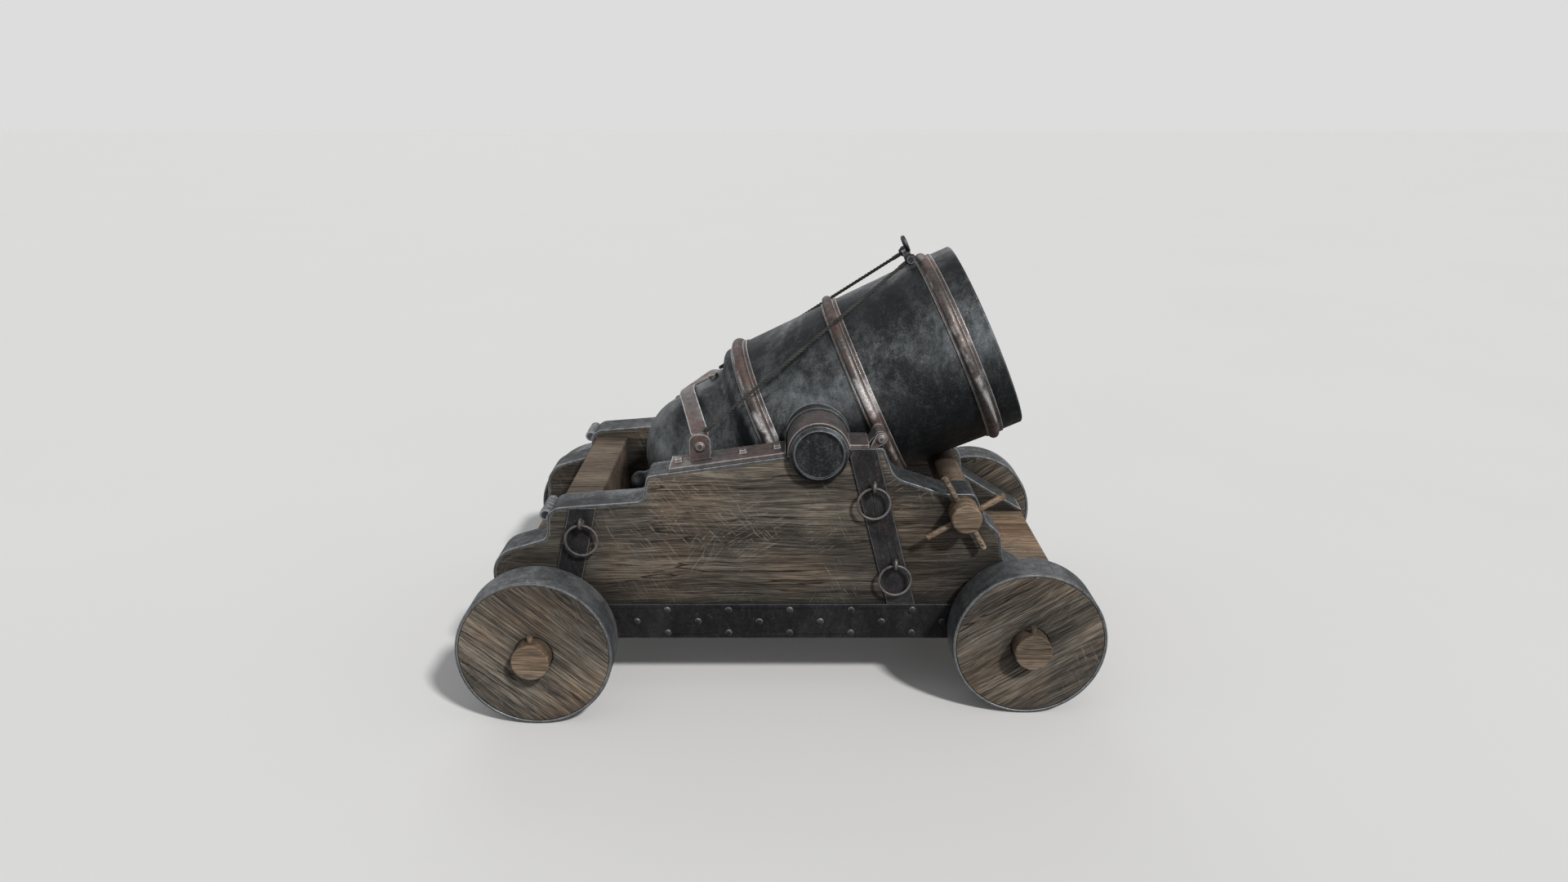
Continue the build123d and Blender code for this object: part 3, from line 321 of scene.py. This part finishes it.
def iron(
    name, dark, smoke, rust, bare, rusted=0.5, worn=0.7, smoky=0.6, rough=(0.42, 0.68), rubbed_and_sheen=0.0, top_under_shade=0.0
):
    """Old dark iron with patches of pale smoke and rust, bare metal where worn, pits and fine scratches.

    worn brightens its edges; rubbed_and_sheen lays bare metal on upright faces, partly wear and partly
    painted highlight; top_under_shade paints shade on faces that look up or down.
    """
    s = Surface(name)
    facing = s.node("ShaderNodeSeparateXYZ", {"Vector": s.skin}, output="Z")
    patches = s.noise(s.place, 4.0, 8, 0.66, 0.6)
    clouds = s.noise(s.place, (34, 34, 16), 9, 0.8, 0.3)
    grains = s.noise(s.place, 230.0, 4, 0.7)
    depth = s.maths("ADD", s.maths("MULTIPLY", patches, 0.6), s.maths("MULTIPLY", clouds, 0.4))
    smoke_share = s.spread(depth, 0.40, 0.68, 0.0, smoky)
    # Painted shade: less pale smoke on faces that look down
    if top_under_shade:
        smoke_share = s.maths("MULTIPLY", smoke_share, s.spread(facing, -0.3, 0.3, 0.35, 1.0))
    colour = s.mix(smoke_share, dark, smoke)
    rust_field = s.noise(s.place, 9.0, 7, 0.7, 0.6)
    rust_share = s.spread(rust_field, 0.56 - 0.16 * rusted, 0.66, 0.0, rusted)
    colour = s.mix(rust_share, colour, rust)
    # Speckles, dark and light
    colour = s.mix(s.spread(grains, 0.32, 0.5, 0.45, 0.0), colour, tuple(0.3 * c for c in dark))
    colour = s.mix(s.spread(grains, 0.52, 0.7, 0.0, 0.3), colour, smoke)
    # Fine scratches
    marks = 0.0
    for angle, seed_shift in ((15, 2.3), (-52, 5.9), (70, 9.4)):
        slanted = s.turned(s.place, angle)
        shifted = s.node("ShaderNodeVectorMath", {0: slanted, 1: (seed_shift, seed_shift, seed_shift)})
        strokes = s.lines(s.noise(shifted, (4, 90, 90), 2, 0.5, 0.7), 0.5, 0.007)
        marks = s.maths("MAXIMUM", marks, strokes)
    scratch_share = s.maths("MULTIPLY", marks, s.spread(clouds, 0.45, 0.6, 0.0, 0.35))
    colour = s.mix(scratch_share, colour, bare)
    # Rubbed edges, and bare metal on upright faces that is partly wear and partly painted highlight
    rub_and_sheen = s.maths("MULTIPLY", s.edges(0.006, 0.01, 0.12), s.spread(clouds, 0.32, 0.52, 0.3, 1.0))
    rub_and_sheen = s.maths("MULTIPLY", rub_and_sheen, worn)
    # Bare metal on the hoops' upright faces, partly wear and partly painted highlight
    if rubbed_and_sheen:
        flank = s.maths("MULTIPLY", s.spread(facing, -0.35, -0.05), s.spread(facing, 0.15, 0.5, 1.0, 0.0))
        places = s.maths("MULTIPLY", flank, s.spread(s.noise(s.place, 6.0, 4, 0.6), 0.45, 0.58))
        places = s.maths("MULTIPLY", places, s.spread(grains, 0.38, 0.55, 0.35, rubbed_and_sheen))
        rub_and_sheen = s.maths("MAXIMUM", rub_and_sheen, places)
    colour = s.mix(rub_and_sheen, colour, bare)
    # Painted shade on faces that look down and on faces that look up, in uneven patches
    if top_under_shade:
        underside_shade_patches = s.spread(clouds, 0.4, 0.65, 1.0, 0.7)
        underside_shade = s.maths("MULTIPLY", s.spread(facing, -0.75, 0.15, top_under_shade, 0.0), underside_shade_patches)
        colour = s.mix(underside_shade, colour, tuple(0.5 * c for c in dark))
        top_shade_patches = s.spread(patches, 0.4, 0.6, 1.0, 0.5)
        top_shade = s.maths("MULTIPLY", s.spread(facing, 0.45, 0.9, 0.0, top_under_shade), top_shade_patches)
        colour = s.mix(top_shade, colour, tuple(1.2 * c for c in dark))
    # Painted shade in corners and crevices
    painted_shade = s.spread(s.shelter(0.05), 0.3, 0.9, 0.6, 0.0)
    colour = s.mix(painted_shade, colour, tuple(0.35 * c for c in dark))
    roughness = s.spread(depth, 0.38, 0.66, rough[1], rough[0])
    roughness = s.maths("ADD", roughness, s.maths("MULTIPLY", rust_share, 0.15))
    roughness = s.maths("SUBTRACT", roughness, s.maths("MULTIPLY", rub_and_sheen, 0.16))
    hammer = s.noise(s.place, 38.0, 3, 0.5)
    normal = s.bump(hammer, 0.0022, 0.5)
    pits = s.maths("ADD", s.maths("MULTIPLY", grains, 0.6), clouds)
    normal = s.bump(pits, 0.0014, 0.6, normal)
    return s.finish(colour, roughness, normal, Metallic=0.7, Specular_IOR_Level=0.45)


def rope_finish():
    """Nearly black tarred rope with paler fuzz."""
    s = Surface("tarred_rope")
    fuzz = s.noise(s.place, 420.0, 4, 0.7)
    clouds = s.noise(s.place, 14.0, 4)
    colour = s.ramp(clouds, (0.3, (0.020, 0.021, 0.022)), (0.7, (0.062, 0.060, 0.056)))
    colour = s.mix(s.spread(fuzz, 0.45, 0.75, 0.0, 0.5), colour, (0.13, 0.12, 0.10))
    normal = s.bump(fuzz, 0.0006, 0.7)
    return s.finish(colour, s.spread(fuzz, 0.3, 0.7, 0.95, 0.7), normal, Specular_IOR_Level=0.2)


plate_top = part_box("side_plate_right")[1].z
cheek_low, cheek_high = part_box("cheek_right")
# Painted shade on the cheeks, darker towards the bottom and both ends
CHEEK_SHADE_ENDS = (
    ("Z", plate_top, plate_top + 0.24),
    ("X", cheek_low.x + 0.10, cheek_low.x + 0.62),
    ("X", cheek_high.x - 0.30, cheek_high.x - 0.75),
)
DARK_WOOD = (0.026, 0.023, 0.020)
WOOD = (0.126, 0.107, 0.087)
PALE_WOOD = (0.320, 0.276, 0.222)

# What each finish hands to oak() or iron()
OAKS = {
    "cheek_oak": {
        "dark": DARK_WOOD, "middle": WOOD, "pale": PALE_WOOD,
        "scored": 0.5, "cracked": 0.85, "shaded_ends": CHEEK_SHADE_ENDS, "warm": 0.38,
    },
    "pale_oak": {
        "dark": (0.075, 0.052, 0.036), "middle": (0.225, 0.168, 0.120), "pale": (0.400, 0.310, 0.225),
        "cracked": 0.5,
    },
    "beam_oak": {
        "dark": (0.045, 0.033, 0.025), "middle": (0.140, 0.108, 0.080), "pale": (0.270, 0.212, 0.155),
        "cracked": 0.7,
    },
    "rear_wheel_oak": {
        "dark": DARK_WOOD, "middle": WOOD, "pale": PALE_WOOD,
        "grain_turn": -40.0, "scored": 0.3, "cracked": 0.8,
    },
    "front_wheel_oak": {
        "dark": DARK_WOOD, "middle": WOOD, "pale": PALE_WOOD,
        "grain_turn": 32.0, "scored": 0.3, "cracked": 0.8,
    },
}
IRONS = {
    "edge_iron": {
        "dark": (0.036, 0.040, 0.044), "smoke": (0.195, 0.206, 0.217),
        "rust": (0.12, 0.09, 0.075), "bare": (0.78, 0.80, 0.82),
        "rusted": 0.25, "worn": 1.0, "smoky": 0.8, "rough": (0.45, 0.7),
    },
    "tyre_iron": {
        "dark": (0.058, 0.063, 0.068), "smoke": (0.280, 0.295, 0.308),
        "rust": (0.15, 0.11, 0.09), "bare": (0.78, 0.80, 0.82),
        "rusted": 0.25, "worn": 1.0, "smoky": 0.9, "rough": (0.45, 0.7),
    },
    "plate_iron": {
        "dark": (0.017, 0.017, 0.019), "smoke": (0.070, 0.070, 0.076),
        "rust": (0.060, 0.044, 0.040), "bare": (0.22, 0.22, 0.23),
        "rusted": 0.3, "worn": 0.8, "rough": (0.5, 0.75),
    },
    "strap_iron": {
        "dark": (0.026, 0.026, 0.029), "smoke": (0.120, 0.118, 0.125),
        "rust": (0.110, 0.065, 0.060), "bare": (0.36, 0.36, 0.37),
        "rusted": 0.45, "worn": 0.9, "smoky": 0.7, "rough": (0.5, 0.75),
    },
    "ring_iron": {
        "dark": (0.070, 0.064, 0.063), "smoke": (0.250, 0.235, 0.230),
        "rust": (0.15, 0.095, 0.08), "bare": (0.55, 0.52, 0.50),
        "rusted": 0.3, "worn": 0.8, "smoky": 0.9,
    },
    "rusty_iron": {
        "dark": (0.088, 0.079, 0.077), "smoke": (0.275, 0.262, 0.260),
        "rust": (0.230, 0.135, 0.115), "bare": (0.80, 0.79, 0.78),
        "rusted": 0.7, "worn": 1.0, "smoky": 0.8,
    },
    "hoop_iron": {
        "dark": (0.072, 0.062, 0.059), "smoke": (0.235, 0.208, 0.200),
        "rust": (0.240, 0.140, 0.118), "bare": (0.88, 0.87, 0.86),
        "rusted": 0.75, "worn": 1.0, "smoky": 0.7, "rough": (0.32, 0.6), "rubbed_and_sheen": 1.0,
    },
    "barrel_iron": {
        "dark": (0.021, 0.024, 0.027), "smoke": (0.235, 0.254, 0.268),
        "rust": (0.080, 0.064, 0.056), "bare": (0.55, 0.57, 0.59),
        "rusted": 0.2, "worn": 0.8, "smoky": 0.9, "rough": (0.38, 0.62), "top_under_shade": 0.9,
    },
}
finishes = {"tarred_rope": rope_finish()}
for name, look in OAKS.items():
    finishes[name] = oak(name, **look)
for name, look in IRONS.items():
    finishes[name] = iron(name, **look)

# ---------------------------------------------------------------------------
# CAD nodes: finishes, rounded edges and even shading
# ---------------------------------------------------------------------------

# Width of the rounding on each slot's edges, in metres
EDGE_ROUND = {
    "cheek_oak": 0.0035,
    "pale_oak": 0.003,
    "wheel_oak": 0.004,
    "edge_iron": 0.002,
    "strap_iron": 0.0012,
    "rusty_iron": 0.0016,
    "barrel_iron": 0.002,
    "tarred_rope": 0.0,
}

# Nodes whose names start so have these finishes; the others have the one named after their slot
NODE_FINISHES = (
    ("front_wheel", "front_wheel_oak"),
    ("rear_wheel", "rear_wheel_oak"),
    ("rear_transom", "beam_oak"),
    ("rear_bed", "beam_oak"),
    ("corner_rolls", "edge_iron"),
    ("front_tyre", "tyre_iron"),
    ("rear_tyre", "tyre_iron"),
    ("side_plate", "plate_iron"),
    ("lashing_ring", "ring_iron"),
    ("ring_eyebolts", "ring_iron"),
    ("chamber_hoop", "hoop_iron"),
    ("middle_hoop", "hoop_iron"),
    ("muzzle_hoop", "hoop_iron"),
)


def finish_of(node, slot):
    """The material of a CAD node."""
    for start, finish in NODE_FINISHES:
        if node.startswith(start):
            return finishes[finish]
    return finishes[slot]


def dress(node, slot):
    """Gives a CAD node its finish, softly rounded edges and even shading."""
    piece = nodes[node]
    piece.data.materials.clear()
    piece.data.materials.append(finish_of(node, slot))
    if "custom_normal" in piece.data.attributes:
        piece.data.attributes.remove(piece.data.attributes["custom_normal"])
    piece.data.polygons.foreach_set("use_smooth", [True] * len(piece.data.polygons))
    weld = piece.modifiers.new("weld", "WELD")
    weld.merge_threshold = SAME_POINT
    if EDGE_ROUND[slot]:
        bevel = piece.modifiers.new("round", "BEVEL")
        bevel.width = EDGE_ROUND[slot]
        bevel.segments = 2
        bevel.limit_method = "ANGLE"
        bevel.angle_limit = math.radians(38)
        bevel.use_clamp_overlap = True
    even = piece.modifiers.new("even", "WEIGHTED_NORMAL")
    even.weight = 80


for part in frame["record"]["subparts"]:
    dress(part["node"], part["material_slot"])

# ---------------------------------------------------------------------------
# New pieces
# ---------------------------------------------------------------------------


def new_piece(name, mesh, slot):
    """Links a finished mesh as a piece with its slot's finish and smooth shading."""
    piece = bpy.data.objects.new(name, mesh)
    scene.collection.objects.link(piece)
    mesh.materials.append(finishes[slot])
    mesh.polygons.foreach_set("use_smooth", [True] * len(mesh.polygons))
    return piece


def mesh_of(work, name):
    """Turns a finished bmesh into a named mesh."""
    mesh = bpy.data.meshes.new(name)
    work.to_mesh(mesh)
    work.free()
    return mesh


def islands(mesh):
    """Lowest and highest corner of each separate solid of a mesh."""
    work = bmesh.new()
    work.from_mesh(mesh)
    bmesh.ops.remove_doubles(work, verts=work.verts, dist=SAME_POINT)
    left = set(work.verts)
    boxes = []
    while left:
        group = [left.pop()]
        for vert in group:
            for edge in vert.link_edges:
                other = edge.other_vert(vert)
                if other in left:
                    left.remove(other)
                    group.append(other)
        low = Vector([min(v.co[i] for v in group) for i in range(3)])
        high = Vector([max(v.co[i] for v in group) for i in range(3)])
        boxes.append((low, high))
    work.free()
    return sorted(boxes, key=lambda box: tuple(box[0]))


def add_tube(work, points, radius, sides=8, closed=False):
    """Adds a tube along points, with capped ends, or joined into a loop."""
    rings = []
    count = len(points)
    across = None
    for i, point in enumerate(points):
        before = points[i - 1] if i or closed else point
        after = points[(i + 1) % count] if i + 1 < count or closed else point
        run = (after - before).normalized()
        if across is None:
            across = run.orthogonal().normalized()
        across = (across - run * across.dot(run)).normalized()
        upright = run.cross(across)
        turns = (2 * math.pi * k / sides for k in range(sides))
        rings.append(
            [work.verts.new(point + (across * math.cos(a) + upright * math.sin(a)) * radius) for a in turns]
        )
    for i in range(count if closed else count - 1):
        a, b = rings[i], rings[(i + 1) % count]
        for k in range(sides):
            work.faces.new((a[k], a[(k + 1) % sides], b[(k + 1) % sides], b[k]))
    if not closed:
        work.faces.new(list(reversed(rings[0])))
        work.faces.new(rings[-1])


def helix(centreline, reach, lay, phase):
    """Points that wind round a centreline at a distance from it, once in each lay's length."""
    wound = []
    gone = 0.0
    across = None
    for i, point in enumerate(centreline):
        before, after = centreline[max(i - 1, 0)], centreline[min(i + 1, len(centreline) - 1)]
        run = (after - before).normalized()
        if across is None:
            across = run.orthogonal().normalized()
        across = (across - run * across.dot(run)).normalized()
        if i:
            gone += (point - centreline[i - 1]).length
        angle = phase + 2 * math.pi * gone / lay
        wound.append(point + (across * math.cos(angle) + run.cross(across) * math.sin(angle)) * reach)
    return wound


def add_laid_rope(work, centreline):
    """Adds three strands laid round each other along a centreline, each pressed a little into the others."""
    strand_r = ROPE_R / (1 + 2 / math.sqrt(3))
    lay = 7 * ROPE_R
    for strand in range(3):
        wound = helix(centreline, ROPE_R - strand_r, lay, 2 * math.pi * strand / 3)
        add_tube(work, wound, strand_r * 1.05)


def add_whipping(work, start, end):
    """Adds twine wound tightly round the rope from start to end, bedded a little into it."""
    centreline = straight(start, end, 0.0004)
    reach = ROPE_R + TWINE_R - TWINE_BEDDED
    add_tube(work, helix(centreline, reach, TWINE_LAY, 0.0), TWINE_R, sides=6)


def straight(start, end, step):
    """Points from start to end, about a step apart."""
    count = max(2, round((end - start).length / step))
    return [start.lerp(end, i / count) for i in range(count + 1)]


def rope_stay(side, hand):
    """Laid rope from strap lug to cross pin, with an eye round the pin and a whipping at each end."""
    node = f"stay_{hand}"
    low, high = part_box(node)
    foot = Vector((low.x, high.y if side == LEFT else low.y, low.z))
    head = Vector((high.x, low.y if side == LEFT else high.y, high.z))
    run = (head - foot).normalized()
    # From the corners of the plain tube's box to the middles of its ends
    inset = Vector([ROPE_R * math.sqrt(1 - run[i] ** 2) for i in range(3)])
    foot += Vector((inset.x, -side * inset.y, inset.z))
    head -= Vector((inset.x, -side * inset.y, inset.z))
    work = bmesh.new()
    add_laid_rope(work, straight(foot, head, 0.003))
    add_whipping(work, foot + run * 0.004, foot + run * 0.034)
    add_whipping(work, head - run * 0.034, head - run * 0.008)
    stay = new_piece(f"rope_stay_{hand}", mesh_of(work, f"rope_stay_{hand}"), "tarred_rope")
    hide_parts(node)
    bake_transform(stay)

    pin_low, pin_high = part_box("stay_pin")
    pin = Vector(((pin_low.x + pin_high.x) / 2, head.y, (pin_low.z + pin_high.z) / 2))
    loop_r = CROSS_PIN_R + 0.95 * ROPE_R
    back = math.atan2(-run.z, -run.x)
    # Round the pin, but for about 20 degrees on either side of the stay
    turn = [back + math.radians(20 + 3 * k) for k in range(108)]
    loop = [pin + Vector((math.cos(a), 0, math.sin(a))) * loop_r for a in turn]
    work = bmesh.new()
    add_laid_rope(work, loop)
    eye = new_piece(f"stay_eye_{hand}", mesh_of(work, f"stay_eye_{hand}"), "tarred_rope")
    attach(eye, "barrel")


def add_dome(work, base, side):
    """Adds a hammered round head that stands out to a side from the middle of its base."""
    squash = chance.uniform(0.9, 1.1)
    levels = 5
    points = 16
    rings = []
    for level in range(levels):
        lift = math.radians(90 * level / levels)
        ring_r = RIVET_HEAD_R * math.cos(lift)
        out = RIVET_HEAD_H * math.sin(lift)
        ring = []
        for k in range(points):
            a = 2 * math.pi * k / points
            wobble = 1 + chance.uniform(-0.025, 0.025)
            spot = Vector((math.cos(a) * ring_r * squash, 0, math.sin(a) * ring_r / squash)) * wobble
            ring.append(work.verts.new(base + spot + Vector((0, side * out, 0))))
        rings.append(ring)
    top = work.verts.new(base + Vector((0, side * RIVET_HEAD_H, 0)))
    for a, b in zip(rings, rings[1:]):
        for k in range(points):
            work.faces.new((a[k], a[(k + 1) % points], b[(k + 1) % points], b[k]))
    for k in range(points):
        work.faces.new((rings[-1][k], rings[-1][(k + 1) % points], top))
    work.faces.new(list(reversed(rings[0])))


def domed_rivets():
    """Hammered round heads on the side plates, in place of the plain chamfered ones."""
    work = bmesh.new()
    for low, high in islands(nodes["plate_rivets"].data):
        middle = (low + high) / 2
        side = RIGHT if middle.y < 0 else LEFT
        outer = low.y if side == RIGHT else high.y
        add_dome(work, Vector((middle.x, outer - side * CAD_RIVET_HEAD_H, middle.z)), side)
    bmesh.ops.recalc_face_normals(work, faces=work.faces)
    rivets = new_piece("rivet_heads", mesh_of(work, "rivet_heads"), "strap_iron")
    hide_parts("plate_rivets")
    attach(rivets, "carriage")


for side, hand in HANDS:
    rope_stay(side, hand)
domed_rivets()

camera()
studio()
